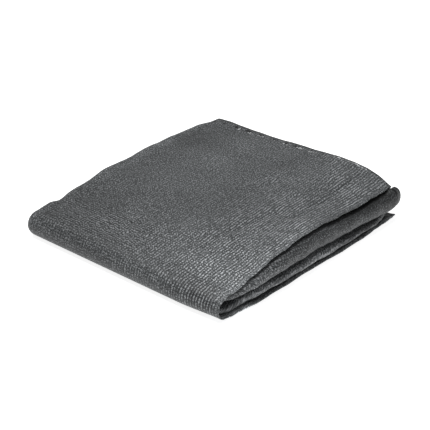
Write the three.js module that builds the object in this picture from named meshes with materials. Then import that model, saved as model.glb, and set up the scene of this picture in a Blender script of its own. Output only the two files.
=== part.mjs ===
import * as THREE from 'three';

// A knitted privacy screen, folded for the shelf. Millimetres, +Z up.
// The cloth is first folded back and forth in six layers, which gives one section in X and depth.
// That stack is then folded once in half, so the section runs along the top, round the half turn at -Y
// and back along the bottom. The open ends with their hems are at +Y, the closed folds at -X, and the
// two selvedges and the rounded band of the inner folds at +X.

// Driving sizes
const sheetThickness = 1.2;
const hemThickness = 1.8;
const hemWidth = 22;
const hemStep = 3; // over which the cloth thickens into its hem
const foldRadius = 17.5; // of the half turn, to the outer face
const foldLine = -162; // Y where the half turn begins and ends
const openEnd = 186; // Y of the hemmed ends
const layerGap = 0.5; // least air between two layers
const flapStep = 1.5; // how far the second selvedge lies behind the first
const foldReach = 9; // how far the outer closed fold bulges past its layers' straight part
const curlWidth = 15; // of the bottom selvedge where it curls off the ground
const bandReachMost = 9; // how far the band of inner folds bulges at most
const bandRoundness = 0.8; // power of its curve, fuller than a half round
const bandAir = 0.8; // extra air between its two folds

// Where the section changes, as shares of the way from the closed folds to the band
const thickens = { from: 0.1, to: 0.95 };
const opens = { from: 0.5, to: 0.96 };
const bandLayers = [0.3, 0.7]; // where layers 4 and 5 lie between layers 3 and 6

// The top half, from the half turn to the open end, a row for each Y.
// foldSide to flapSide are the height of the top face at the six places in heightColumns.
// flap, band and fold are how far the selvedge, the band of inner folds and the closed fold reach.
// bandDepth and foldDepth are the half's thickness at the band and at the closed fold, and lipGap is
// the air under the two selvedge layers.
const topHalf = [
  { y: -162, foldSide: 35, quarter: 35, middle: 35, crown: 35, shoulder: 35, flapSide: 35,
    flap: 167, band: 161.5, fold: 167.5, bandDepth: 11.2, foldDepth: 12.4, lipGap: 1.6 },
  { y: -135, foldSide: 36, quarter: 38.5, middle: 40, crown: 40, shoulder: 38.5, flapSide: 37,
    flap: 168, band: 169, fold: 169, bandDepth: 15, foldDepth: 15, lipGap: 1.8 },
  { y: -120, foldSide: 34, quarter: 39.5, middle: 42, crown: 42.5, shoulder: 42, flapSide: 40.5,
    flap: 168, band: 172, fold: 166.8, bandDepth: 18, foldDepth: 16, lipGap: 2.0 },
  { y: -100, foldSide: 35.5, quarter: 40.5, middle: 43.5, crown: 44.5, shoulder: 44.5, flapSide: 44.5,
    flap: 168, band: 174.5, fold: 169.8, bandDepth: 22, foldDepth: 17, lipGap: 2.3 },
  { y: -60, foldSide: 38, quarter: 42, middle: 45, crown: 47.5, shoulder: 49.5, flapSide: 50.5,
    flap: 167.5, band: 175.5, fold: 170, bandDepth: 27, foldDepth: 18.5, lipGap: 2.6 },
  { y: -20, foldSide: 41.5, quarter: 43.5, middle: 46, crown: 49, shoulder: 52, flapSide: 54.5,
    flap: 167.5, band: 176, fold: 172, bandDepth: 31, foldDepth: 19.5, lipGap: 3.2 },
  { y: 12, foldSide: 39.5, quarter: 43.5, middle: 46.5, crown: 50, shoulder: 53.5, flapSide: 56.5,
    flap: 168, band: 176.5, fold: 171.5, bandDepth: 31.5, foldDepth: 19, lipGap: 3.6 },
  { y: 55, foldSide: 40.5, quarter: 43.5, middle: 47.5, crown: 51, shoulder: 52, flapSide: 53,
    flap: 168, band: 177, fold: 172, bandDepth: 32, foldDepth: 19, lipGap: 4.2 },
  { y: 100, foldSide: 39, quarter: 44, middle: 49, crown: 53, shoulder: 50.5, flapSide: 49,
    flap: 168, band: 177, fold: 170.5, bandDepth: 30.5, foldDepth: 19, lipGap: 4.2 },
  { y: 155, foldSide: 38, quarter: 45, middle: 50.5, crown: 55, shoulder: 52, flapSide: 47,
    flap: 167, band: 178.5, fold: 166, bandDepth: 31, foldDepth: 18.5, lipGap: 2.8 },
  { y: 174, foldSide: 39, quarter: 45.5, middle: 51, crown: 55.5, shoulder: 53, flapSide: 46,
    flap: 166, band: 178.5, fold: 162, bandDepth: 30.5, foldDepth: 18.5, lipGap: 1.6 },
  { y: 186, foldSide: 46, quarter: 46.5, middle: 51.5, crown: 56, shoulder: 54, flapSide: 44.5,
    flap: 165, band: 177.5, fold: 149, bandDepth: 29.5, foldDepth: 20, lipGap: 1.2 },
];

// The bottom half, in the same order; lift is how far its outer edge curls off the ground.
const bottomHalf = [
  { y: -162, flap: 167, band: 161.5, fold: 167.5, bandDepth: 11.2, foldDepth: 12.4, lipGap: 1.6, lift: 0 },
  { y: -138, flap: 171, band: 167, fold: 169, bandDepth: 16.5, foldDepth: 14.5, lipGap: 4.2, lift: 3.6 },
  { y: -117, flap: 175.5, band: 170, fold: 169.5, bandDepth: 18.5, foldDepth: 16, lipGap: 5.6, lift: 4.8 },
  { y: -106, flap: 172, band: 172, fold: 169.5, bandDepth: 19, foldDepth: 16, lipGap: 6.4, lift: 1.2 },
  { y: -40, flap: 172, band: 175, fold: 170, bandDepth: 18, foldDepth: 18, lipGap: 6.0, lift: 0.3 },
  { y: 5, flap: 172, band: 175.5, fold: 170.5, bandDepth: 18.5, foldDepth: 18.5, lipGap: 5.4, lift: 0.3 },
  { y: 40, flap: 174, band: 176.5, fold: 170.5, bandDepth: 17, foldDepth: 18, lipGap: 3.9, lift: 0.3 },
  { y: 90, flap: 175, band: 177, fold: 170, bandDepth: 15.5, foldDepth: 18, lipGap: 3.6, lift: 0.3 },
  { y: 140, flap: 173.5, band: 176, fold: 167, bandDepth: 14.5, foldDepth: 17.5, lipGap: 3.4, lift: 0.6 },
  { y: 165, flap: 172.5, band: 170, fold: 164, bandDepth: 14.6, foldDepth: 18, lipGap: 1.1, lift: 1.0 },
  { y: 186, flap: 174, band: 162, fold: 156, bandDepth: 14.2, foldDepth: 18, lipGap: 0.9, lift: 0.9 },
];

// Where the height columns stand across the stack, as X
const heightColumns = [
  { name: 'foldSide', x: -150 },
  { name: 'quarter', x: -70 },
  { name: 'middle', x: 10 },
  { name: 'crown', x: 88 },
  { name: 'shoulder', x: 138 },
  { name: 'flapSide', x: 166 },
];

// The soft crease that runs beside the top selvedge
const crease = { x: 130, halfWidth: 9, depth: 1.6, startY: 0, fullY: 45, fadeY: 150, endY: 184 };

// How the hemmed end line bows, and how far each layer's end lies from it, as Y
const endBow = [
  { at: -165, value: -4 },
  { at: -120, value: -1 },
  { at: 0, value: 0 },
  { at: 90, value: 3 },
  { at: 165, value: -3 },
  { at: 180, value: 3 },
];
const endSlip = { top: [0, -1.5, 6, 0.5, 4, -1.5], bottom: [-4, -2, -5, -3, -4.5, -2] };
const slipStart = { y: 110, x: -140, fullX: 0 }; // where the layers begin to part

// The half turn is pinched towards its +X end
const pinch = { fromX: 95, toX: 170, share: 0.16 };

// Steps along the sweep
const topSteps = [186, 180, 174, 164, 160, 130, 100, 72, 48, 28, 12, -6, -32, -62, -98, -120, -137];
const turnSteps = 8;
const bottomSteps = [-138, -117, -106, -72, -30, 10, 50, 90, 130, 156, 162, 182, 186];

function mix(a, b, t) {
  return a + (b - a) * t;
}

function ease(from, to, value) {
  const t = Math.min(1, Math.max(0, (value - from) / (to - from)));
  return t * t * (3 - 2 * t);
}

// A smooth curve through points of { at, value } in rising order, flat beyond its ends
function through(points, at) {
  const last = points.length - 1;
  if (at <= points[0].at) return points[0].value;
  if (at >= points[last].at) return points[last].value;
  let i = 0;
  while (at > points[i + 1].at) i += 1;
  const slope = (k) => {
    const before = points[Math.max(0, k - 1)];
    const after = points[Math.min(last, k + 1)];
    return (after.value - before.value) / (after.at - before.at);
  };
  const span = points[i + 1].at - points[i].at;
  const t = (at - points[i].at) / span;
  const t2 = t * t;
  const t3 = t2 * t;
  return (2 * t3 - 3 * t2 + 1) * points[i].value + (t3 - 2 * t2 + t) * span * slope(i)
    + (3 * t2 - 2 * t3) * points[i + 1].value + (t3 - t2) * span * slope(i + 1);
}

function column(rows, name, y) {
  return through(rows.map((row) => ({ at: row.y, value: row[name] })), y);
}

// The top face of the whole stack
function topHeight(x, y) {
  const heights = heightColumns.map((c) => ({ at: c.x, value: column(topHalf, c.name, y) }));
  const across = (x - crease.x) / crease.halfWidth;
  const along = ease(crease.startY, crease.fullY, y) * (1 - ease(crease.fadeY, crease.endY, y));
  return through(heights, x) - crease.depth * along * Math.exp(-across * across);
}

// The sizes of the section at one place along the sweep
function sectionSizes(rows, y) {
  const isTop = rows === topHalf;
  const sizes = { slip: isTop ? endSlip.top : endSlip.bottom, lift: isTop ? 0 : column(rows, 'lift', y) };
  for (const name of ['flap', 'band', 'fold', 'bandDepth', 'foldDepth', 'lipGap']) {
    sizes[name] = column(rows, name, y);
  }
  const hemStart = openEnd - hemWidth;
  sizes.thickness = mix(sheetThickness, hemThickness, ease(hemStart - hemStep, hemStart, y));
  return sizes;
}

// Depth of a layer's middle below the outer face, layer 1 being the outermost of six
function layerDepth(layer, x, s) {
  const across = (x + s.fold) / (s.band + s.fold);
  const half = mix(s.foldDepth, s.bandDepth, ease(thickens.from, thickens.to, across));
  const first = s.thickness / 2;
  const second = first + s.thickness + layerGap;
  const third = second + s.thickness + s.lipGap;
  const sixth = half - s.thickness / 2;
  const inner = bandLayers.map((share) => mix(third, sixth, share));
  const opened = [first, second, third, ...inner, sixth];
  const even = mix(first, sixth, (layer - 1) / 5);
  const curl = layer < 3 ? s.lift * ease(s.flap - curlWidth, s.flap, x + (layer - 1) * flapStep) : 0;
  return mix(even, opened[layer - 1], ease(opens.from, opens.to, across)) + curl;
}

// A layer's straight run between two X, at the given shares of the way
function run(layer, fromX, toX, shares, s) {
  return shares.map((share) => {
    const x = mix(fromX, toX, share);
    return { x, depth: layerDepth(layer, x, s), slip: s.slip[layer - 1] };
  });
}

// A rounded fold between two layers at X = start, bulging by reach; a low power makes it fuller
function fold(fromLayer, toLayer, start, reach, steps, power, s) {
  const a = layerDepth(fromLayer, start, s);
  const b = layerDepth(toLayer, start, s);
  const points = [];
  for (let i = 0; i <= steps; i += 1) {
    const angle = (Math.PI * i) / steps;
    const share = (1 - Math.cos(angle)) / 2;
    points.push({
      x: start + reach * Math.sin(angle) ** power,
      depth: mix(a, b, share),
      slip: mix(s.slip[fromLayer - 1], s.slip[toLayer - 1], share),
    });
  }
  return points;
}

// Shares along the runs, closer where the selvedge bends and at the crease
const freeRun = [0.17, 0.36, 0.54, 0.71, 0.845, 0.886, 0.925, 0.968, 1];
const innerRun = [0.17, 0.38, 0.59, 0.79, 0.94];

// The middle line of the cloth: layers 1, 6, 3, 4, 5 and 2 in turn
function middleLine(s) {
  const foldPitch = s.thickness + layerGap;
  const foldX = -s.fold + s.thickness / 2 + foldReach;
  const bandHeight = layerDepth(6, s.band, s) - layerDepth(3, s.band, s);
  const bandReach = Math.min(bandReachMost, (bandHeight + s.thickness) / 2 + layerGap);
  const bandX = s.band - s.thickness / 2 - bandReach;
  const innerReach = Math.max(sheetThickness, bandReach - foldPitch - bandAir);
  const towardsFold = (shares) => [...shares].reverse();
  return [
    ...run(1, foldX, s.flap, towardsFold(freeRun), s),
    ...fold(1, 6, foldX, -foldReach, 8, 1, s),
    ...run(6, foldX, bandX, innerRun, s),
    ...fold(6, 3, bandX, bandReach, 7, bandRoundness, s),
    ...run(3, foldX, bandX, towardsFold(innerRun), s),
    ...fold(3, 4, foldX, 2 * foldPitch - foldReach, 4, 1, s),
    ...run(4, foldX, bandX, innerRun, s),
    ...fold(4, 5, bandX, innerReach, 4, bandRoundness, s),
    ...run(5, foldX, bandX, towardsFold(innerRun), s),
    ...fold(5, 2, foldX, foldPitch - foldReach, 6, 1, s),
    ...run(2, foldX, s.flap - flapStep, freeRun, s),
  ];
}

// Both faces of the cloth, half its thickness either side of the middle line
function outline(s) {
  const line = middleLine(s);
  const half = s.thickness / 2;
  const left = [];
  const right = [];
  line.forEach((point, i) => {
    const before = line[Math.max(0, i - 1)];
    const after = line[Math.min(line.length - 1, i + 1)];
    const length = Math.hypot(after.x - before.x, after.depth - before.depth);
    const acrossX = ((after.depth - before.depth) / length) * half;
    const acrossDepth = (-(after.x - before.x) / length) * half;
    left.push({ x: point.x + acrossX, depth: point.depth + acrossDepth, slip: point.slip });
    right.push({ x: point.x - acrossX, depth: point.depth - acrossDepth, slip: point.slip });
  });
  return [...left, ...right.reverse()];
}

// Y of a point of the section, with the layers' ends apart and the end line bowed
function slippedY(p, y) {
  const slip = p.slip * ease(slipStart.x, slipStart.fullX, p.x);
  return y + (slip + through(endBow, p.x)) * ease(slipStart.y, openEnd, y);
}

function topStation(y) {
  return outline(sectionSizes(topHalf, y)).map((p) => {
    const placedY = slippedY(p, y);
    return [p.x, placedY, topHeight(p.x, placedY) - p.depth];
  });
}

function turnStation(angle) {
  return outline(sectionSizes(topHalf, foldLine)).map((p) => {
    const radius = foldRadius * (1 - pinch.share * ease(pinch.fromX, pinch.toX, p.x)) - p.depth;
    return [p.x, foldLine + radius * Math.cos(angle), foldRadius + radius * Math.sin(angle)];
  });
}

function bottomStation(y) {
  return outline(sectionSizes(bottomHalf, y)).map((p) => [p.x, slippedY(p, y), p.depth]);
}

// The sweep: along the top, round the half turn and back along the bottom
const stations = topSteps.map(topStation);
for (let i = 0; i <= turnSteps; i += 1) {
  stations.push(turnStation(Math.PI * (0.5 + i / turnSteps)));
}
stations.push(...bottomSteps.map(bottomStation));

// One closed surface over all the stations, with a cap at each hemmed end. Every quad is split along
// the diagonal that leans to +X, so that neighbouring layers bend alike.
const ring = stations[0].length;
const faces = [];
for (let k = 0; k + 1 < stations.length; k += 1) {
  for (let i = 0; i < ring; i += 1) {
    const next = (i + 1) % ring;
    const a = k * ring + i;
    const b = k * ring + next;
    if (stations[k][next][0] > stations[k][i][0]) faces.push(a, b + ring, b, a, a + ring, b + ring);
    else faces.push(a, a + ring, b, b, a + ring, b + ring);
  }
}
const lastRing = (stations.length - 1) * ring;
for (let i = 0; i + 1 < ring / 2; i += 1) {
  const across = ring - 1 - i;
  faces.push(i, across - 1, across, i, i + 1, across - 1);
  faces.push(lastRing + i, lastRing + across, lastRing + across - 1);
  faces.push(lastRing + i, lastRing + across - 1, lastRing + i + 1);
}

const clothGeometry = new THREE.BufferGeometry();
clothGeometry.setAttribute('position', new THREE.Float32BufferAttribute(stations.flat(2), 3));
clothGeometry.setIndex(faces);
clothGeometry.computeBoundingBox();
const box = clothGeometry.boundingBox;
clothGeometry.translate(-(box.min.x + box.max.x) / 2, -(box.min.y + box.max.y) / 2, -box.min.z);
clothGeometry.computeVertexNormals();

const clothMaterial = new THREE.MeshStandardMaterial({ color: 0x5c5e60, roughness: 0.72, metalness: 0 });
const cloth = new THREE.Mesh(clothGeometry, clothMaterial);
cloth.name = 'screen_cloth';

const group = new THREE.Group();
group.name = 'folded_privacy_screen';
group.add(cloth);

export default group;
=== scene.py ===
import math

import bpy
import numpy as np
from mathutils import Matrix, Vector


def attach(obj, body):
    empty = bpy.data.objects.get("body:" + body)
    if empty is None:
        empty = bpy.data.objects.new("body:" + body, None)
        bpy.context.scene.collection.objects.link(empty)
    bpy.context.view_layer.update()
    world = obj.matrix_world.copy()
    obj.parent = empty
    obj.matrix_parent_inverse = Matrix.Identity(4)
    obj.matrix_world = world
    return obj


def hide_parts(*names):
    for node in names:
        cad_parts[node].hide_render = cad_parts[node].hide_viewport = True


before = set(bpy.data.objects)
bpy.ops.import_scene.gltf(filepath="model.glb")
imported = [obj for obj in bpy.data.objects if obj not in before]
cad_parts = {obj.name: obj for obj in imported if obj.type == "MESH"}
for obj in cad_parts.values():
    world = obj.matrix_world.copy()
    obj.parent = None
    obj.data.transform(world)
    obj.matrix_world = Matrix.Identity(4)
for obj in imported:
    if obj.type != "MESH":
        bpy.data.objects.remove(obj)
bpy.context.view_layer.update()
print("stage: frame loaded")

mm = 0.001


def linear(hexColour):
    # sRGB hex to a linear colour with alpha
    parts = [int(hexColour[i:i + 2], 16) / 255 for i in (1, 3, 5)]
    return [c / 12.92 if c <= 0.04045 else ((c + 0.055) / 1.055) ** 2.4 for c in parts] + [1.0]


def add(tree, kind, inputs, out=0, **settings):
    # one node with its settings and its inputs: a socket is linked, a value is set; gives back one output
    node = tree.nodes.new("ShaderNode" + kind)
    for name, value in settings.items():
        setattr(node, name, value)
    for key, value in (inputs.items() if isinstance(inputs, dict) else enumerate(inputs)):
        if isinstance(value, bpy.types.NodeSocket):
            tree.links.new(value, node.inputs[key])
        else:
            node.inputs[key].default_value = value
    return node.outputs[out]


# the folded cloth: sizes in millimetres, x across the folds, y towards the hemmed open end
cloth = {
    "thickness": 1.2,
    "hemThickness": 1.8,
    "hemWidth": 22.0,
    "hemStep": 3.0,
    "foldRadius": 17.5,  # of the half fold
    "foldLine": -162.0,
    "openEnd": 186.0,
    "layerGap": 0.5,
    "flapAt": 168.0,  # usual place of the flap's selvedge
    "flapStep": 1.5,  # the second leaf of the flap stops this short of the first
    "tipStep": -1.2,  # but reaches past it at the lower tip
    "tipY": (168.0, 184.0),
    "foldReach": 9.0,  # from the end of the straight runs to the edge of the folded side
    "curlWidth": 15.0,  # part of the lower flap that curls up from the floor
    "bandReachMost": 9.0,  # the same at the bands, at most
    "bandRoundness": 0.8,  # power of their turns, squarer under 1
    "bandAir": 0.8,  # between a band's outer and inner turn
    "thickens": (0.1, 0.95),  # shares of the way across between which the fold's depth becomes the band's
    "opens": (0.5, 0.96),  # and between which the even layers part
    "inBand": (0.3, 0.7),  # places of the inner fold's layers between those of the outer one
    "knobLift": 6.0,  # the folded bands rise at their corner at the open end
    "knobX": (162.2, 167.2),
    "knobY": (160.0, 184.0),
    "knobDepth": (4.2, 5.2),  # the flap's own leaves stay down
    "centre": (3.206, 7.424),  # middle of the footprint, the frame's origin
    "endSlipTop": (0, -1.5, 1.5, 0.5, 3, -1.5),  # how far each layer ends past the hem's line
    "endSlipBottom": (-4, -2, -5, -3, -4.5, -2),
    "slipStart": 110.0,  # the slip grows from here to the open end, and between these places across
    "slipX": (-140.0, 0.0),
    # places across, and how far out the open end lies there
    "endBow": ((-165, -4), (-120, -1), (0, 0), (90, 3), (165, -3), (180, 3)),
    "pinchX": (95.0, 170.0),  # the half fold is tighter towards the flap
    "pinch": 0.16,
    "settle": (0.5, 1.1),  # the top's extra height fades out between these angles of it, in half turns
    "turnSteps": 20,
    "foldSteps": (18, 10, 6),  # steps round a wide turn, a narrow one and the tightest
    "outerSteps": 130,  # steps across the outer layer, the one that shows
    "topHemSteps": (0, 0.8, 2, *range(4, 37, 2)),  # the top's first sections, measured from the open end
    "topStep": 3.0,  # from there to the half fold
    "bottomSections": 31,
    "bottomHemSteps": (28, 24, 20, 14, 8, 3, 0.8, 0),
    "flatWidth": 0.75,  # metres
    "flatLength": 2.05,
}

# one row for each place along y: six heights of the top face, the reach of each edge, and depths
topNames = ("y", "foldSide", "quarter", "middle", "crown", "shoulder", "flapSide",
            "flap", "band", "fold", "bandDepth", "foldDepth", "lipGap")
topRows = (
    (-162, 35, 35, 35, 35, 35, 35, 167, 161.5, 167.5, 11.2, 12.4, 1.6),
    (-135, 36, 38.5, 40, 40, 38.5, 37, 168, 169, 169, 15, 15, 1.8),
    (-120, 34, 39.5, 42, 42.5, 42, 40.5, 168, 172, 166.8, 18, 16, 2.0),
    (-100, 35.5, 40.5, 43.5, 44.5, 44.5, 44.5, 168, 174.5, 169.8, 22, 17, 2.3),
    (-60, 38, 42, 45, 47.5, 49.5, 50.5, 167.5, 175.5, 170, 27, 18.5, 2.6),
    (-20, 41.5, 43.5, 46, 49, 52, 54.5, 167.5, 176, 172, 31, 19.5, 3.2),
    (12, 39.5, 43.5, 46.5, 50, 53.5, 56.5, 168, 176.5, 171.5, 31.5, 19, 3.6),
    (55, 40.5, 43.5, 47.5, 51, 52, 53, 168, 177, 172, 31, 19, 4.2),
    (100, 39, 44, 49, 53, 50.5, 49, 168, 177, 170.5, 29.2, 19, 4.2),
    (155, 38, 45, 50.5, 55, 52, 47, 166.7, 178.5, 166, 31, 18.5, 2.8),
    (174, 39, 45.5, 51, 55.5, 53, 46, 165.5, 178.5, 162, 33.5, 18.5, 1.6),
    (186, 46, 46.5, 51.5, 56, 54, 44.5, 164.6, 177.5, 149, 35, 20, 1.2),
)
heightNames = topNames[1:7]
heightX = (-150, -70, 10, 88, 138, 166)
bottomNames = ("y", "flap", "band", "fold", "bandDepth", "foldDepth", "lipGap", "lift")
bottomRows = (
    (-162, 167, 161.5, 167.5, 11.2, 12.4, 1.6, 1.6),
    (-138, 171, 167, 169, 16.5, 14.5, 4.2, 3.6),
    (-117, 175.5, 170, 169.5, 18.5, 16, 5.6, 4.8),
    (-106, 172, 172, 169.5, 19, 16, 6.4, 1.2),
    (-40, 172, 175, 170, 18, 18, 6.0, 0.3),
    (5, 172, 175.5, 170.5, 18.5, 18.5, 5.4, 0.3),
    (40, 174, 176.5, 170.5, 17, 18, 5.0, 0.3),
    (90, 175, 177, 170, 15.5, 18, 6.2, 0.3),
    (140, 173.5, 176, 167, 14.5, 17.5, 5.6, 0.6),
    (165, 172.5, 170, 164, 14.6, 18, 1.1, 1.0),
    (186, 171.8, 162, 156, 14.2, 18, 0.9, 0.9),
)
topTable = {name: np.array([row[k] for row in topRows], float) for k, name in enumerate(topNames)}
bottomTable = {name: np.array([row[k] for row in bottomRows], float) for k, name in enumerate(bottomNames)}

# soft creases of the top face: half width, depth (a ridge is negative), the length over which it fades in
# from both ends, and the (x, y) points of its line
topCreases = (
    (9, 1.6, 52, ((130, -2), (130, 198))),
    (3, 1.0, 24, ((121, 184), (122, 150), (124, 120), (127, 90), (125, 62), (119, 44), (106, 28))),
    (5, -0.7, 30, ((130, 150), (134, 100), (132, 60), (124, 30))),
    (9, 1.6, 30, ((119, 46), (102, 23), (95, 5), (86, -20), (78, -60), (73, -93))),
    (8, 1.3, 25, ((60, 140), (52, 110), (44, 75), (38, 42))),
    (9, 1.1, 25, ((58, 172), (40, 145), (14, 124), (-46, 118))),
    (4, 1.1, 22, ((-146, -6), (-99, -9), (-55, -11))),
    (8, 1.2, 20, ((-30, -132), (-24, -95), (-17, -55))),
    (10, 1.4, 25, ((-128, -138), (-137, -95), (-150, -50))),
    (10, 1.2, 25, ((-145, 60), (-126, 87), (-110, 120))),
    (2.4, 1.2, 5, ((20, 169), (31, 167.5), (40, 169.5), (49, 174), (56, 183))),
    (4, 0.7, 10, ((112, 8), (128, 22), (142, 30))),
    (15, -2.2, 50, ((-168, -156), (-90, -159), (0, -160), (90, -162))),
)
creasePoints = 25

# slight swell of the whole face: wave length, direction in degrees, height and phase
ripples = (
    (61, 20, 0.30, 0.4),
    (43, 115, 0.24, 2.1),
    (29, 64, 0.16, 4.0),
    (23, 150, 0.12, 5.2),
    (17, 95, 0.08, 1.1),
)

# the same along the flap's edge and the folded bands: wave length, how far out, and phase
edgeWaves = {
    "flap": ((53, 0.5, 0.7), (21, 0.3, 2.0), (11, 0.15, 4.4)),
    "band": ((47, 0.7, 3.1), (19, 0.35, 0.2)),
}


def mix(a, b, t):
    return a + (b - a) * t


def ease(low, high, value):
    t = np.clip((np.asarray(value, float) - low) / (high - low), 0, 1)
    return t * t * (3 - 2 * t)


def through(at, values, where):
    # smooth curve through values (one row for each place in at) at each of where
    at = np.asarray(at, float)
    values = np.asarray(values, float)
    where = np.asarray(where, float)
    if values.ndim == 1:
        values = np.repeat(values[:, None], where.size, 1).reshape((len(at),) + where.shape)
    slopes = np.empty_like(values)
    slopes[1:-1] = (values[2:] - values[:-2]) / (at[2:] - at[:-2]).reshape((-1,) + (1,) * where.ndim)
    slopes[0] = (values[1] - values[0]) / (at[1] - at[0])
    slopes[-1] = (values[-1] - values[-2]) / (at[-1] - at[-2])
    x = np.clip(where, at[0], at[-1])
    i = np.clip(np.searchsorted(at, x, side="right") - 1, 0, len(at) - 2)
    span = at[i + 1] - at[i]
    t = (x - at[i]) / span
    a, aSlope, b, bSlope = (np.take_along_axis(rows, k[None], 0)[0]
                            for rows, k in ((values, i), (slopes, i), (values, i + 1), (slopes, i + 1)))
    t2, t3 = t * t, t * t * t
    return ((2 * t3 - 3 * t2 + 1) * a + (t3 - 2 * t2 + t) * span * aSlope
            + (3 * t2 - 2 * t3) * b + (t3 - t2) * span * bSlope)


def smoothLine(points):
    # evenly spaced points on a smooth curve through the given ones, and their way along it
    points = np.array(points, float)
    along = np.concatenate([[0], np.cumsum(np.hypot(*np.diff(points, axis=0).T))])
    where = np.linspace(0, along[-1], creasePoints)
    return np.stack([through(along, points[:, 0], where), through(along, points[:, 1], where)], 1), where


creaseLines = [smoothLine(line) for *_, line in topCreases]


def relief(x, y):
    # the creases and ripples of the top face at each point
    total = np.zeros_like(x)
    rows = np.arange(len(x))
    for (halfWidth, depth, fade, _), (points, along) in zip(topCreases, creaseLines):
        steps = np.diff(points, axis=0)
        lengths = np.diff(along)
        fromStart = np.stack([x, y], 1)[:, None] - points[None, :-1]
        share = np.clip(np.sum(fromStart * steps, 2) / np.maximum(np.sum(steps * steps, 1), 1e-9), 0, 1)
        distance = np.linalg.norm(fromStart - share[..., None] * steps, axis=2)
        nearest = np.argmin(distance, 1)
        at = along[nearest] + share[rows, nearest] * lengths[nearest]
        inside = ease(0, fade, at) * (1 - ease(along[-1] - fade, along[-1], at))
        total -= depth * inside * np.exp(-(distance[rows, nearest] / halfWidth) ** 2)
    swell = np.zeros_like(x)
    for length, direction, height, phase in ripples:
        way = math.radians(direction)
        swell += height * np.sin((x * math.cos(way) + y * math.sin(way)) * 2 * math.pi / length + phase)
    return total + swell


def topHeight(x, y):
    columns = np.array([through(topTable["y"], topTable[name], y) for name in heightNames])
    return through(heightX, columns, x) + relief(x, y)


def sectionSizes(top, y):
    # the sizes of the section at y, of the upper or the lower half of the pack
    table = topTable if top else bottomTable
    sizes = {name: float(through(table["y"], table[name], np.array([y]))[0])
             for name in ("flap", "band", "fold", "bandDepth", "foldDepth", "lipGap")}
    for name, waves in edgeWaves.items():
        sizes[name] += sum(out * math.sin(2 * math.pi * y / length + phase) for length, out, phase in waves)
    sizes["slip"] = cloth["endSlipTop"] if top else cloth["endSlipBottom"]
    sizes["step"] = cloth["flapStep"]
    sizes["lift"] = 0.0
    if not top:
        sizes["step"] = mix(cloth["flapStep"], cloth["tipStep"], float(ease(*cloth["tipY"], y)))
        sizes["lift"] = float(through(table["y"], table["lift"], np.array([y]))[0])
    hemStart = cloth["openEnd"] - cloth["hemWidth"]
    hem = float(ease(hemStart - cloth["hemStep"], hemStart, y))
    sizes["thickness"] = mix(cloth["thickness"], cloth["hemThickness"], hem)
    return sizes


def layerDepth(layer, x, size):
    # depth of a layer's middle below the outer face, layer 1 outermost of six
    across = (x + size["fold"]) / (size["band"] + size["fold"])
    half = mix(size["foldDepth"], size["bandDepth"], ease(*cloth["thickens"], across))
    first = size["thickness"] / 2
    second = first + size["thickness"] + cloth["layerGap"]
    third = second + size["thickness"] + size["lipGap"]
    sixth = half - size["thickness"] / 2
    fourth, fifth = (mix(third, sixth, share) for share in cloth["inBand"])
    opened = (first, second, third, fourth, fifth, sixth)
    even = mix(first, sixth, (layer - 1) / 5)
    curl = 0.0
    if layer < 3:
        curlFrom = size["flap"] - cloth["curlWidth"]
        curl = size["lift"] * ease(curlFrom, size["flap"], x + (layer - 1) * size["step"])
    return mix(even, opened[layer - 1], ease(*cloth["opens"], across)) + curl


def run(layer, fromX, toX, shares, size):
    # a layer's straight way across: rows of x, depth and slip
    x = mix(fromX, toX, np.asarray(shares))
    return np.stack([x, layerDepth(layer, x, size), np.full(len(x), size["slip"][layer - 1], float)], 1)


def fold(fromLayer, toLayer, start, reach, steps, power, size):
    # the turn from one layer to another, squarer for a power under 1
    angle = np.linspace(0, math.pi, steps + 1)
    share = (1 - np.cos(angle)) / 2
    x = start + reach * np.maximum(np.sin(angle), 0) ** power
    a = layerDepth(fromLayer, np.array([start]), size)[0]
    b = layerDepth(toLayer, np.array([start]), size)[0]
    slip = mix(size["slip"][fromLayer - 1], size["slip"][toLayer - 1], share)
    return np.stack([x, mix(a, b, share), slip], 1)


# shares along the straight runs: the outer layer is fine, the hidden ones coarse, and those that show at the
# flap's edge are finer there
outerShares = np.linspace(0, 1, cloth["outerSteps"] + 1)[1:]
hiddenShares = np.array([0.08, 0.2, 0.36, 0.52, 0.66, 0.78, 0.87, 0.94])
thirdShares = np.append(hiddenShares, [0.97, 0.982, 0.987])
secondShares = np.array([0.08, 0.2, 0.36, 0.52, 0.66, 0.76, 0.84, 0.89, 0.93, 0.96, 0.98, 0.993, 1.0])


def middleLine(size):
    # the middle of the cloth through all six layers, from the flap's selvedge to the inner end
    pitch = size["thickness"] + cloth["layerGap"]
    reach = cloth["foldReach"]
    foldX = -size["fold"] + size["thickness"] / 2 + reach
    bandEdge = np.array([size["band"]])
    bandHeight = layerDepth(6, bandEdge, size)[0] - layerDepth(3, bandEdge, size)[0]
    bandReach = min(cloth["bandReachMost"], (bandHeight + size["thickness"]) / 2 + cloth["layerGap"])
    bandX = size["band"] - size["thickness"] / 2 - bandReach
    innerReach = max(cloth["thickness"], bandReach - pitch - cloth["bandAir"])
    power = cloth["bandRoundness"]
    wide, narrow, tight = cloth["foldSteps"]
    return np.concatenate([
        run(1, foldX, size["flap"], outerShares[::-1], size),
        fold(1, 6, foldX, -reach, wide, 1, size),
        run(6, foldX, bandX, hiddenShares, size),
        fold(6, 3, bandX, bandReach, wide, power, size),
        run(3, foldX, bandX, thirdShares[::-1], size),
        fold(3, 4, foldX, 2 * pitch - reach, tight, 1, size),
        run(4, foldX, bandX, hiddenShares, size),
        fold(4, 5, bandX, innerReach, narrow, power, size),
        run(5, foldX, bandX, hiddenShares[::-1], size),
        fold(5, 2, foldX, pitch - reach, narrow, 1, size),
        run(2, foldX, size["flap"] - size["step"], secondShares, size),
    ])


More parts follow.
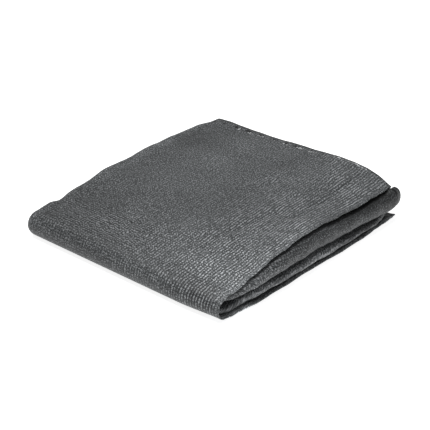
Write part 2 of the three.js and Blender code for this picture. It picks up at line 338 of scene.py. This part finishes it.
def outline(size):
    # both faces of the cloth, half its thickness either side of the middle line, and the way along it
    line = middleLine(size)
    before = np.concatenate([line[:1], line[:-1]])
    after = np.concatenate([line[1:], line[-1:]])
    way = after[:, :2] - before[:, :2]
    way /= np.linalg.norm(way, axis=1)[:, None]
    half = size["thickness"] / 2
    across = np.stack([way[:, 1], -way[:, 0]], 1) * half
    left = line.copy()
    right = line.copy()
    left[:, :2] += across
    right[:, :2] -= across
    steps = np.linalg.norm(np.diff(line[:, :2], axis=0), axis=1)
    along = np.concatenate([[0], np.cumsum(steps)])
    return np.concatenate([left, right[::-1]]), np.concatenate([along, along[::-1]])


def bowAt(x):
    # how far past the hem's line the open end lies at x
    return through([row[0] for row in cloth["endBow"]], [row[1] for row in cloth["endBow"]], x)


def slippedY(points, y):
    slip = points[:, 2] * ease(*cloth["slipX"], points[:, 0])
    return y + (slip + bowAt(points[:, 0])) * float(ease(cloth["slipStart"], cloth["openEnd"], y))


def topStation(y):
    points, along = outline(sectionSizes(True, y))
    placedY = slippedY(points, y)
    knob = cloth["knobLift"] * ease(*cloth["knobX"], points[:, 0]) * ease(*cloth["knobY"], placedY)
    knob *= ease(*cloth["knobDepth"], points[:, 1])
    z = topHeight(points[:, 0], placedY) - points[:, 1] + knob
    return np.stack([points[:, 0], placedY, z], 1), along


def turnStation(angle):
    points, along = outline(sectionSizes(True, cloth["foldLine"]))
    x = points[:, 0]
    rise = topHeight(x, np.full_like(x, cloth["foldLine"])) - 2 * cloth["foldRadius"]
    radius = cloth["foldRadius"] * (1 - cloth["pinch"] * ease(*cloth["pinchX"], x)) - points[:, 1]
    settleFrom, settleTo = cloth["settle"]
    radius += rise * (1 - ease(settleFrom * math.pi, settleTo * math.pi, angle))
    y = cloth["foldLine"] + radius * math.cos(angle)
    z = cloth["foldRadius"] + radius * math.sin(angle)
    return np.stack([x, y, z], 1), along


def bottomStation(y):
    points, along = outline(sectionSizes(False, y))
    return np.stack([points[:, 0], slippedY(points, y), points[:, 1]], 1), along


def stationPlaces():
    # places along y, closer at the hem: the top's from the open end to the half fold, and the bottom's back
    topHem = cloth["openEnd"] - np.array(cloth["topHemSteps"])
    bottomHem = cloth["openEnd"] - np.array(cloth["bottomHemSteps"])
    top = np.arange(topHem[-1] - cloth["topStep"], cloth["foldLine"], -cloth["topStep"])
    bottom = np.linspace(cloth["foldLine"], bottomHem[0], cloth["bottomSections"] + 1)[1:-1]
    return np.concatenate([topHem, top]), np.concatenate([bottom, bottomHem])


def buildCloth():
    turnAngles = math.pi * (0.5 + np.arange(cloth["turnSteps"] + 1) / cloth["turnSteps"])
    topPlaces, bottomPlaces = stationPlaces()
    stations = [topStation(y) for y in topPlaces]
    stations += [turnStation(angle) for angle in turnAngles]
    stations += [bottomStation(y) for y in bottomPlaces]
    points = np.array([ring for ring, _ in stations])
    along = np.array([way for _, way in stations])
    count, ring = points.shape[:2]
    points[:, :, 0] -= cloth["centre"][0]
    points[:, :, 1] -= cloth["centre"][1]
    # the way along the cloth from the open end, made as long in every place across
    steps = np.linalg.norm(np.diff(points, axis=0), axis=2)
    down = np.concatenate([np.zeros((1, ring)), np.cumsum(steps, axis=0)])
    down *= np.mean(down[-1]) / np.maximum(down[-1], 1)[None, :]
    faces = []
    for k in range(count - 1):
        base = k * ring
        for i in range(ring):
            j = (i + 1) % ring
            faces.append((base + i, base + ring + i, base + ring + j, base + j))
    # the two open ends are closed by strips between the cloth's faces
    last = (count - 1) * ring
    for i in range(ring // 2 - 1):
        across = ring - 1 - i
        faces.append((i, i + 1, across - 1, across))
        faces.append((last + i, last + across, last + across - 1, last + i + 1))
    mesh = bpy.data.meshes.new("foldedScreen")
    mesh.from_pydata((points.reshape(-1, 3) * mm).tolist(), [], faces)
    # flat coordinates in metres: u from the flap's selvedge, v from the hemmed end
    uv = mesh.uv_layers.new(name="cloth")
    index = np.empty(len(mesh.loops), np.int32)
    mesh.loops.foreach_get("vertex_index", index)
    coords = np.stack([along.reshape(-1)[index], down.reshape(-1)[index]], 1) * mm
    uv.data.foreach_set("uv", coords.astype(np.float32).ravel())
    mesh.shade_smooth()
    piece = bpy.data.objects.new("foldedScreen", mesh)
    bpy.context.scene.collection.objects.link(piece)
    print("cloth:", len(mesh.polygons) * 2, "triangles,", count, "stations,", ring, "ring")
    return piece


# knitted polyethylene: pale chains over darker tape, matt with little sheen, so that it looks like salt and
# pepper from a step away
knit = {
    "wale": 4.4 * mm,  # pitch of the chains across the cloth
    "course": 3.9 * mm,  # pitch of the stitches along it
    "dark": "#131415",
    "mid": "#37393a",
    "light": "#7e8082",
    "wander": 0.2,  # of the chains and courses, in their pitches
    "jitter": (0.6, 2.2),  # unsteadiness of the loops at the half fold, across and along the chains
    "open": (0.16, 0.26, -0.23),  # contrast of the stitches, more at the half fold, less at its lip
    "patch": (0.65, 1.25),  # least and most of it from patch to patch, over this range of their noise
    "patchNoise": (0.35, 0.65),
    "apart": (0.30, 0.35),  # how far the loops of a chain stand apart, and what the half fold adds
    "loopTone": 1.2,  # mean tone of the loops, and of the tape between the chains
    "tapeTone": 0.7,
    "uneven": 1.0,  # difference from one loop to the next
    # each unevenness of the cloth: its width, and how much finer detail it has
    "noise": {
        "drift": (71.4 * mm, 2),
        "jitter": (7.69 * mm, 1),
        "patch": (62.5 * mm, 2),
        "broad": (111 * mm, 3),
        "blotch": (13.33 * mm, 2),
    },
    "speckle": ((1.5385 * mm, 2.0), (2.9412 * mm, 0.8)),  # width and strength of the fibre's grains
    "broad": (0.3, 0.7, 0.9, 1.1),  # from this range of its noise to this one of tone
    "blotch": (0.75, 0.88, 0.0, 0.92),
    "lipPale": (0.25, 0.35),  # painted light: paler beside the selvedge, and what the half fold adds
    "acrossPale": (0.03, 0.34, 0.27, -0.30),  # painted light: paler near the selvedge and darker at the far side, evenly
    "bump": 0.4,
    "bumpHeight": 0.4 * mm,
    "roughness": 0.55,
    "ior": 1.51,
    "specular": 0.25,
    "sheen": 0.05,
    "sheenRoughness": 0.4,
}

# zones of the flat cloth, each made of smooth ramps that are multiplied: across it (u) or along it (v), start
# and end in metres, and the values there
zones = {
    "front": (("v", 0.16, 0.31, 0.0, 1.0), ("v", 0.32, 0.36, 1.0, 0.5)),  # towards the half fold
    "lip": (("u", 0.03, 0.2, 1.0, 0.0),),  # beside the selvedge
    "lipOpen": (("v", 0.08, 0.2, 0.302, 0.42),),  # more contrast of the stitches there
    "inner": (("u", 0.0048, 0.0072, 0.3, 1.0),),  # all but the flat selvedge itself
    "rows": (("u", 0.13, 0.20, 0.0, 0.6), ("u", 0.29, 0.35, 1.0, 0.0),
             ("v", 0.27, 0.31, 0.0, 1.0), ("v", 0.335, 0.355, 1.0, 0.25)),  # courses show as lines across
    "topFace": (("u", 0.38, 0.5, 1.0, 0.0),),  # all of the outer layer
    "strip": (("u", 0.0, 0.03, 0.28, 0.0), ("v", 0.14, 0.18, 0.0, 1.0)),  # pale edge of the flap
    "face": (("v", 0.352, 0.375, 0.0, -0.18), ("u", 0.2, 0.3, 1.0, 0.2),
             ("v", 0.40, 0.43, 1.0, 0.0)),  # painted shade round the half fold
    "farRimPale": (("u", 0.314, 0.322, 0.0, 0.8), ("u", 0.328, 0.336, 1.0, 0.0)),  # paler along the rim of the far fold, in patches
    "rim": (("v", 0.325, 0.34, 0.0, 1.0), ("v", 0.352, 0.362, 1.0, 0.0),
            ("u", 0.03, 0.07, 0.0, 0.12)),  # painted shade on the rim above the half fold
    "hem": (("v", 0.004, 0.006, 0.0, 1.0), ("v", 0.009, 0.012, 1.0, 0.0),
            ("u", 0.10, 0.13, 0.0, 1.0)),  # dark blotches along the hem
    "edge": (("v", 0.002, 0.004, 0.45, 0.0),),  # and its dark edge
    "under": (("u", 0.694, 0.720, 0.0, 1.0), ("v", 0.06, 0.17, 0.92, 0.22),
              ("v", 0.2, 0.33, 1.0, 0.0)),  # painted shadow of the flap on the upper half of the band under it, most at the open end
}

# paler and darker spots of the flat cloth, painted light and painted shade among them: place across and along
# the flat cloth and reach, in metres, and strength
toneAndPaintedLightSpots = (
    # at the half fold's corner: painted light, paler, and painted shade on its rim
    (0.000, 0.338, 0.035, 0.35),
    (0.035, 0.300, 0.070, 0.14),
    (0.038, 0.328, 0.024, 0.16),
    (0.040, 0.357, 0.026, -0.20),
    (0.085, 0.315, 0.045, 0.16),
    (0.090, 0.235, 0.034, -0.20),
    (0.030, 0.215, 0.070, 0.20),
    (0.025, 0.172, 0.016, 0.22),
    (0.085, 0.145, 0.048, 0.20),
    (0.000, 0.030, 0.110, 0.34),
    (0.075, 0.030, 0.035, 0.20),
    (0.100, 0.060, 0.050, 0.08),
    (0.142, 0.065, 0.040, -0.24),
    (0.190, 0.090, 0.130, 0.16),
    (0.232, 0.040, 0.042, 0.22),
    (0.230, 0.105, 0.045, 0.18),
    (0.225, 0.272, 0.032, 0.20),
    (0.312, 0.065, 0.062, -0.28),
    (0.312, 0.275, 0.040, -0.10),
    (0.332, 0.222, 0.036, 0.34),
    (0.334, 0.322, 0.030, -0.30),
    (0.330, 0.345, 0.060, -0.12),
    # painted light on the folded bands, in the shade of the flap and of the band above
    (0.690, 0.325, 0.080, 0.80),
    (0.690, 0.430, 0.060, 0.60),
    (0.690, 0.540, 0.190, 0.80),
    (0.688, 0.580, 0.060, 0.50),
    # painted shadow of the flap on the band at the open end
    (0.710, 0.010, 0.080, -0.50),
    # painted light on the lower flap's two leaves, in the shade under the bands
    (0.000, 0.420, 0.050, 1.80),
    (2.005, 0.415, 0.060, 1.80),
    # painted shade below the rim of the half fold
    (0.010, 0.365, 0.075, -0.14),
)


def knitMaterial():
    material = bpy.data.materials.new("anthracitePolyethyleneKnit")
    material.use_nodes = True
    tree = material.node_tree
    tree.nodes.clear()
    smooth = {"interpolation_type": "SMOOTHSTEP"}
    times, plus, minus, timesPlus, pingPong, whole, cosine = (
        {"operation": name} for name in
        ("MULTIPLY", "ADD", "SUBTRACT", "MULTIPLY_ADD", "PINGPONG", "ROUND", "COSINE"))
    uv = add(tree, "UVMap", [], uv_map="cloth")
    place = {"u": add(tree, "SeparateXYZ", [uv], 0), "v": add(tree, "SeparateXYZ", [uv], 1)}
    noise = {name: add(tree, "TexNoise", {"Vector": uv, "Scale": 1 / width, "Detail": detail})
             for name, (width, detail) in knit["noise"].items()}
    zone = {}
    for name, ramps in zones.items():
        for axis, start, end, first, last in ramps:
            ramp = add(tree, "MapRange", [place[axis], start, end, first, last], **smooth)
            zone[name] = add(tree, "Math", [zone[name], ramp], **times) if name in zone else ramp
    front, lip = zone["front"], zone["lip"]

    # place among the chains and courses, with a slight wander, so that no row is ruler straight
    drift = add(tree, "Math", [noise["drift"], knit["wander"], -knit["wander"] / 2], **timesPlus)
    jitter = add(tree, "Math", [add(tree, "Math", [noise["jitter"], 0.5], **minus), front], **times)
    sideways, endways = knit["jitter"]
    waleAt = add(tree, "Math", [jitter, sideways, drift], **timesPlus)
    waleAt = add(tree, "Math", [place["u"], 1 / knit["wale"], waleAt], **timesPlus)
    courseAt = add(tree, "Math", [jitter, endways, drift], **timesPlus)
    courseAt = add(tree, "Math", [place["v"], -1 / knit["course"], courseAt], **timesPlus)

    # chains of loops along the cloth, one loop a course, and flat tape laid in zigzag between two chains
    zigzag = add(tree, "Math", [add(tree, "Math", [waleAt, 0.5], **pingPong), courseAt], **plus)
    waves = []
    for wave in (waleAt, courseAt, zigzag):
        wave = add(tree, "Math", [add(tree, "Math", [wave, 2 * math.pi], **times)], **cosine)
        waves.append(add(tree, "Math", [wave, 0.5, 0.5], **timesPlus))
    chain, loop, tape = waves
    gap = add(tree, "Math", [1.0, chain], **minus)
    shines = []
    for across, alongCloth, seed in (("ROUND", courseAt, 0.5), ("FLOOR", zigzag, 7.5)):
        cell = add(tree, "CombineXYZ", [add(tree, "Math", [waleAt], operation=across),
                                        add(tree, "Math", [alongCloth], **whole), seed])
        shines.append(add(tree, "TexWhiteNoise", [cell], noise_dimensions="3D"))
    loopShine, tapeShine = shines

    # the knit stands open beside the selvedge and towards the half fold, and is pressed flat elsewhere
    patch = add(tree, "MapRange", [noise["patch"], *knit["patchNoise"], *knit["patch"]], **smooth)
    patch = add(tree, "Math", [patch, zone["inner"]], **times)
    flatKnit, frontKnit, lessAtLip = knit["open"]
    openness = add(tree, "Math", [front, frontKnit, flatKnit], **timesPlus)
    atLip = add(tree, "Math", [front, lessAtLip, zone["lipOpen"]], **timesPlus)
    openness = add(tree, "Math", [lip, atLip, openness], **timesPlus)
    openness = add(tree, "Math", [openness, patch], **times)

    # pale chains over darker tape, each loop a little paler or darker than the next: the chains read as lines
    # beside the selvedge, as rows of dots towards the half fold, and as lines across at its far side
    apart = add(tree, "Math", [front, knit["apart"][1], knit["apart"][0]], **timesPlus)
    dots = add(tree, "Math", [add(tree, "Math", [1.0, loop], **minus), apart], **times)
    dots = add(tree, "Math", [chain, add(tree, "Math", [1.0, dots], **minus)], **times)
    uneven = knit["uneven"]
    loopTone = add(tree, "Math", [loopShine, uneven, knit["loopTone"] - uneven / 2], **timesPlus)
    loopTone = add(tree, "Math", [loopTone, dots], **times)
    tapeTone = add(tree, "Math", [tapeShine, uneven, knit["tapeTone"] - uneven / 2], **timesPlus)
    tapeTone = add(tree, "Math", [tapeTone, add(tree, "Math", [1.0, lip], **minus)], **times)
    tapeTone = add(tree, "Math", [tapeTone, add(tree, "Math", [gap, tape], **times)], **times)
    weave = add(tree, "Math", [loopTone, tapeTone], **plus)
    tone = add(tree, "Math", [add(tree, "Math", [weave, 0.5], **minus), openness, 0.5], **timesPlus)
    tone = add(tree, "Math", [add(tree, "Math", [loop, 0.5], **minus), zone["rows"], tone], **timesPlus)
    # fine speckle of the fibre: the real one is finer, so it is drawn as coarse as it still shows
    for width, strength in knit["speckle"]:
        grain = add(tree, "TexNoise", {"Vector": uv, "Scale": 1 / width, "Detail": 1.0})
        grain = add(tree, "Math", [grain, 0.5], **minus)
        tone = add(tree, "Math", [grain, strength, tone], **timesPlus)
    colour = linear(knit["dark"])
    for start, end, paler in ((0.0, 0.5, "mid"), (0.5, 1.0, "light")):
        share = add(tree, "MapRange", [tone, start, end, 0.0, 1.0], **smooth)
        colour = add(tree, "Mix", {0: share, 6: colour, 7: linear(knit[paler])}, 2, data_type="RGBA")

    # broad tone, with painted light: paler beside the selvedge, more so towards the half fold, and the paler
    # and darker spots
    shade = add(tree, "MapRange", [noise["broad"], *knit["broad"]], **smooth)
    lipPale, frontPale = knit["lipPale"]
    pale = add(tree, "Math", [front, frontPale, lipPale], **timesPlus)
    acrossPale = add(tree, "MapRange", [place["u"], *knit["acrossPale"]])
    acrossPale = add(tree, "Math", [acrossPale, zone["topFace"]], **times)
    patchy = add(tree, "Math", [patch, knit["patch"][0]], **minus)
    # painted light beside the selvedge and towards the half fold, the flap's pale edge, painted shade round
    # the half fold, and the far rim, paler in patches
    tints = [(lip, pale), (acrossPale, front), (zone["strip"], 1.0), (zone["face"], 1.0), (zone["farRimPale"], patchy)]
    for where, strength in tints:
        tint = add(tree, "Math", [where, strength, 1.0], **timesPlus)
        shade = add(tree, "Math", [shade, tint], **times)
    # the paler and darker spots, with painted light and painted shade
    for acrossAt, alongAt, reach, strength in toneAndPaintedLightSpots:
        away = add(tree, "VectorMath", [uv, (acrossAt, alongAt, 0.0)], "Value", operation="DISTANCE")
        near = add(tree, "MapRange", [away, 0.0, reach, 1.0 + strength, 1.0], **smooth)
        shade = add(tree, "Math", [shade, near], **times)

    # the hem is dark at its edge and in blotches that keep to its tufts, and painted shade darkens the rim
    # and the band under the flap
    firstTuft, pitch = hemStitches["tuft"]
    tuft = [place["u"], -1 / (pitch * mm), (cloth["flapAt"] - firstTuft) / pitch + 0.5]
    tuft = add(tree, "Math", [add(tree, "Math", tuft, **timesPlus), 0.5], **pingPong)
    blotch = add(tree, "Math", [tuft, noise["blotch"]], **plus)
    blotch = add(tree, "MapRange", [blotch, *knit["blotch"]], **smooth)
    hem = add(tree, "Math", [zone["hem"], blotch], **times)
    hemAndPaintedShade = add(tree, "Math", [hem, zone["edge"]], operation="MAXIMUM")
    # painted shade on the rim and on the band under the flap
    hemAndPaintedShade = add(tree, "Math", [hemAndPaintedShade, add(tree, "Math", [zone["rim"], zone["under"]], **plus)], **plus)
    shade = add(tree, "Math", [shade, add(tree, "Math", [1.0, hemAndPaintedShade], **minus)], **times)
    colour = add(tree, "Mix", {0: 1.0, 6: colour, 7: shade}, 2, data_type="RGBA", blend_type="MULTIPLY")

    firm = add(tree, "Math", [openness, knit["bump"]], **times)
    bump = add(tree, "Bump", {"Strength": firm, "Distance": knit["bumpHeight"], "Height": weave})
    shader = add(tree, "BsdfPrincipled", {
        "Base Color": colour,
        "Roughness": knit["roughness"],
        "IOR": knit["ior"],
        "Specular IOR Level": knit["specular"],
        "Sheen Weight": knit["sheen"],
        "Sheen Roughness": knit["sheenRoughness"],
        "Normal": bump,
    })
    surface = tree.nodes.new("ShaderNodeOutputMaterial")
    tree.links.new(shader, surface.inputs["Surface"])
    return material


# the sewn hem's stitches: sizes in millimetres
hemStitches = {
    "length": 4.0,
    "lengths": (0.6, 1.2),  # shortest and longest share of it
    "width": 1.9,
    "height": 1.3,
    "ladder": ((66, 124), 3.3, 4.2),  # near the flap: from and to, pitch, and distance from the end
    "run": ((-112, 60), 3.4, 8.5),  # the same along the rest of the hem, on show only in tufts
    "tuft": (-101, 22.3),  # place of the first tuft, and from one to the next
    "tuftShare": 0.25,  # half a tuft's share of that
    "shown": 0.85,  # share of the stitches that show
    "turn": {"ladder": 0.0, "run": 1.2},  # from the edge's own direction, in radians
    "turnSpread": 0.3,
    "spread": (0.3, 0.5),
    "raised": 0.15,
    "rings": 5,
    "sides": 6,
    "seed": 7,
    "thread": "#c4c6c8",
    "soil": (6.25 * mm, 2),  # width of the soiled places, and how much finer detail they have
    "soilRange": (0.35, 0.65, 0.25, 1.0),
    "roughness": 0.45,
    "ior": 1.54,
}


def buildStitches():
    # small rounded grains of thread on the outer layer: along the edge near the flap, elsewhere in tufts and
    # turned across it
    chance = np.random.default_rng(hemStitches["seed"])
    points, faces = [], []
    rings, sides = hemStitches["rings"], hemStitches["sides"]
    firstTuft, apart = hemStitches["tuft"]
    spreadX, spreadY = hemStitches["spread"]
    for key in ("ladder", "run"):
        (start, end), pitch, inside = hemStitches[key]
        for x in np.arange(start, end, pitch):
            if chance.random() > hemStitches["shown"]:
                continue
            fromTuft = abs((x - firstTuft + apart / 2) % apart - apart / 2)
            if key == "run" and fromTuft > apart * hemStitches["tuftShare"]:
                continue
            x = x + chance.normal(0, spreadX)
            y = cloth["openEnd"] + float(bowAt(np.array([x]))[0]) - inside + chance.normal(0, spreadY)
            length = hemStitches["length"] * chance.uniform(*hemStitches["lengths"])
            turn = chance.normal(hemStitches["turn"][key], hemStitches["turnSpread"])
            wide = np.array([math.sin(turn), -math.cos(turn), 0]) * hemStitches["width"] / 2
            along = np.array([math.cos(turn), math.sin(turn), 0]) * length / 2
            base = len(points)
            for r in range(rings):
                way = math.pi * (r + 0.5) / rings
                for k in range(sides):
                    around = 2 * math.pi * k / sides
                    flat = np.array([x, y, 0]) + along * math.cos(way)
                    flat += wide * math.sin(way) * math.cos(around)
                    z = float(topHeight(flat[:1], flat[1:2])[0])
                    up = hemStitches["raised"] + hemStitches["height"] / 2 * math.sin(way) * math.sin(around)
                    points.append((flat[0] - cloth["centre"][0], flat[1] - cloth["centre"][1], z + up))
            for r in range(rings - 1):
                for k in range(sides):
                    a, b = base + r * sides + k, base + r * sides + (k + 1) % sides
                    faces.append((a, b, b + sides, a + sides))
            faces.append(tuple(base + k for k in reversed(range(sides))))
            faces.append(tuple(base + (rings - 1) * sides + k for k in range(sides)))
    mesh = bpy.data.meshes.new("hemStitches")
    mesh.from_pydata((np.array(points) * mm).tolist(), [], faces)
    mesh.shade_smooth()
    piece = bpy.data.objects.new("hemStitches", mesh)
    bpy.context.scene.collection.objects.link(piece)
    return piece


def threadMaterial():
    # spun polyester: pale and a little glossy, soiled in places
    material = bpy.data.materials.new("greyPolyesterThread")
    material.use_nodes = True
    tree = material.node_tree
    tree.nodes.clear()
    place = add(tree, "TexCoord", [], 3)
    width, detail = hemStitches["soil"]
    soil = add(tree, "TexNoise", {"Vector": place, "Scale": 1 / width, "Detail": detail})
    soil = add(tree, "MapRange", [soil, *hemStitches["soilRange"]], interpolation_type="SMOOTHSTEP")
    colour = add(tree, "Mix", {0: 1.0, 6: linear(hemStitches["thread"]), 7: soil}, 2,
                 data_type="RGBA", blend_type="MULTIPLY")
    shader = add(tree, "BsdfPrincipled", {
        "Base Color": colour,
        "Roughness": hemStitches["roughness"],
        "IOR": hemStitches["ior"],
    })
    surface = tree.nodes.new("ShaderNodeOutputMaterial")
    tree.links.new(shader, surface.inputs["Surface"])
    return material


screen = buildCloth()
screen.data.materials.append(knitMaterial())
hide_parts("screen_cloth")
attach(screen, "root")
print("stage: cloth built")

stitches = buildStitches()
stitches.data.materials.append(threadMaterial())
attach(stitches, "root")
print("stage: hem stitched")


# floor, light and camera, in metres
room = {
    "floor": "#c8c8c8",
    "floorSize": 8.0,
    "floorRoughness": 0.9,
    "floorSpecular": 0.2,
    "floorGlow": 0.8,  # a white light table, so shadows on it stay faint and the sides are lit from below
    "world": "#ffffff",
    "worldStrength": 0.45,
}
softbox = {
    "place": (-0.3, -0.25, 1.5),
    "aim": (0, 0, 0.03),
    "size": 1.0,
    "energy": 21.0,
    "colour": "#ffffff",
}
view = {
    "azimuth": 40.8122,
    "elevation": 29.9070,
    "distance": 2.71021,
    "target": (-0.018264, 0.021139, 0.0),
    "lens": 167.44,
    "sensor": 36.0,
}

half = room["floorSize"] / 2
corners = [(-half, -half, 0), (half, -half, 0), (half, half, 0), (-half, half, 0)]
floorMesh = bpy.data.meshes.new("floor")
floorMesh.from_pydata(corners, [], [(0, 1, 2, 3)])
floor = bpy.data.objects.new("floor", floorMesh)
bpy.context.scene.collection.objects.link(floor)
floorMaterial = bpy.data.materials.new("palePaperSweep")  # matt paper: even and pale, with no gloss
floorMaterial.use_nodes = True
floorShader = floorMaterial.node_tree.nodes["Principled BSDF"]
floorShader.inputs["Base Color"].default_value = linear(room["floor"])
floorShader.inputs["Roughness"].default_value = room["floorRoughness"]
floorShader.inputs["Specular IOR Level"].default_value = room["floorSpecular"]
floorShader.inputs["Emission Color"].default_value = linear(room["world"])
floorShader.inputs["Emission Strength"].default_value = room["floorGlow"]
floorMesh.materials.append(floorMaterial)

world = bpy.data.worlds.new("softRoom")
bpy.context.scene.world = world
world.use_nodes = True
background = world.node_tree.nodes["Background"]
background.inputs["Color"].default_value = linear(room["world"])
background.inputs["Strength"].default_value = room["worldStrength"]

lampData = bpy.data.lights.new("overheadSoftbox", "AREA")
lampData.shape = "DISK"
lampData.size = softbox["size"]
lampData.energy = softbox["energy"]
lampData.color = linear(softbox["colour"])[:3]
lamp = bpy.data.objects.new("overheadSoftbox", lampData)
lamp.location = softbox["place"]
lamp.rotation_euler = (Vector(softbox["aim"]) - Vector(softbox["place"])).to_track_quat("-Z", "Y").to_euler()
bpy.context.scene.collection.objects.link(lamp)

cameraData = bpy.data.cameras.new("camera")
cameraData.lens = view["lens"]
cameraData.sensor_width = view["sensor"]
camera = bpy.data.objects.new("camera", cameraData)
azimuth, elevation = math.radians(view["azimuth"]), math.radians(view["elevation"])
away = Vector((math.sin(azimuth) * math.cos(elevation), -math.cos(azimuth) * math.cos(elevation),
               math.sin(elevation)))
camera.location = Vector(view["target"]) + away * view["distance"]
camera.rotation_euler = away.to_track_quat("Z", "Y").to_euler()
bpy.context.scene.collection.objects.link(camera)
bpy.context.scene.camera = camera
bpy.context.scene.view_settings.view_transform = "Standard"
print("stage: light and camera")
